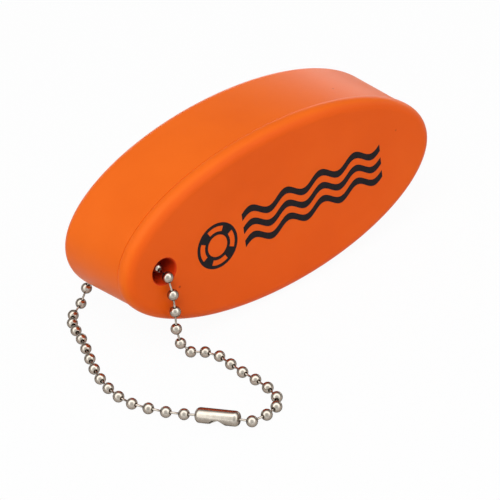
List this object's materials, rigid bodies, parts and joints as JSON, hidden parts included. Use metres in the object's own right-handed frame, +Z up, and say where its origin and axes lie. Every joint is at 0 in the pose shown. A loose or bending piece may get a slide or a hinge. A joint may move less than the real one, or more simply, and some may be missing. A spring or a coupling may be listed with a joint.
{
  "type": "floating keychain",
  "caption": "Oval foam key float with rounded edges and a hole near one end, on a loop of ball chain closed by a sleeve connector.",
  "frame": {"origin": "on the table, under the middle of the part's box", "axes": "+X along the float, from the hole's end; +Y from the printed front face to the back; +Z up"},
  "size_m": [0.0938, 0.0628, 0.0406],
  "materials": {
    "foam": "matt closed-cell foam",
    "chain": "nickel plate",
    "connector": "nickel plate"
  },
  "bodies": {
    "float": {"float_body": "foam"},
    "chain": {"front_end_ball": "chain", "ball_01": "chain", "ball_02": "chain", "ball_03": "chain", "ball_04": "chain", "ball_05": "chain", "ball_06": "chain", "ball_07": "chain", "ball_08": "chain", "ball_09": "chain", "ball_10": "chain", "ball_11": "chain", "ball_12": "chain", "ball_13": "chain", "ball_14": "chain", "ball_15": "chain", "ball_16": "chain", "ball_17": "chain", "ball_18": "chain", "ball_19": "chain", "ball_20": "chain", "ball_21": "chain", "ball_22": "chain", "ball_23": "chain", "ball_24": "chain", "ball_25": "chain", "ball_26": "chain", "ball_27": "chain", "ball_28": "chain", "ball_29": "chain", "ball_30": "chain", "ball_31": "chain", "ball_32": "chain", "ball_33": "chain", "ball_34": "chain", "ball_35": "chain", "ball_36": "chain", "ball_37": "chain", "ball_38": "chain", "ball_39": "chain", "ball_40": "chain", "ball_41": "chain", "back_end_ball": "chain"},
    "connector": {"connector_sleeve": "connector"}
  },
  "joints": [
    {"name": "chain_swing", "type": "hinge", "parent": "float", "child": "chain", "pos_m": [-0.02737, 0.01301, 0.02035], "axis": [0, 1, 0], "range_deg": [-55, 170]},
    {"name": "connector_spin", "type": "hinge", "parent": "chain", "child": "connector", "pos_m": [-0.03646, -0.02409, 0.0016], "axis": [-0.5476, 0.8368, 0], "continuous": true}
  ]
}
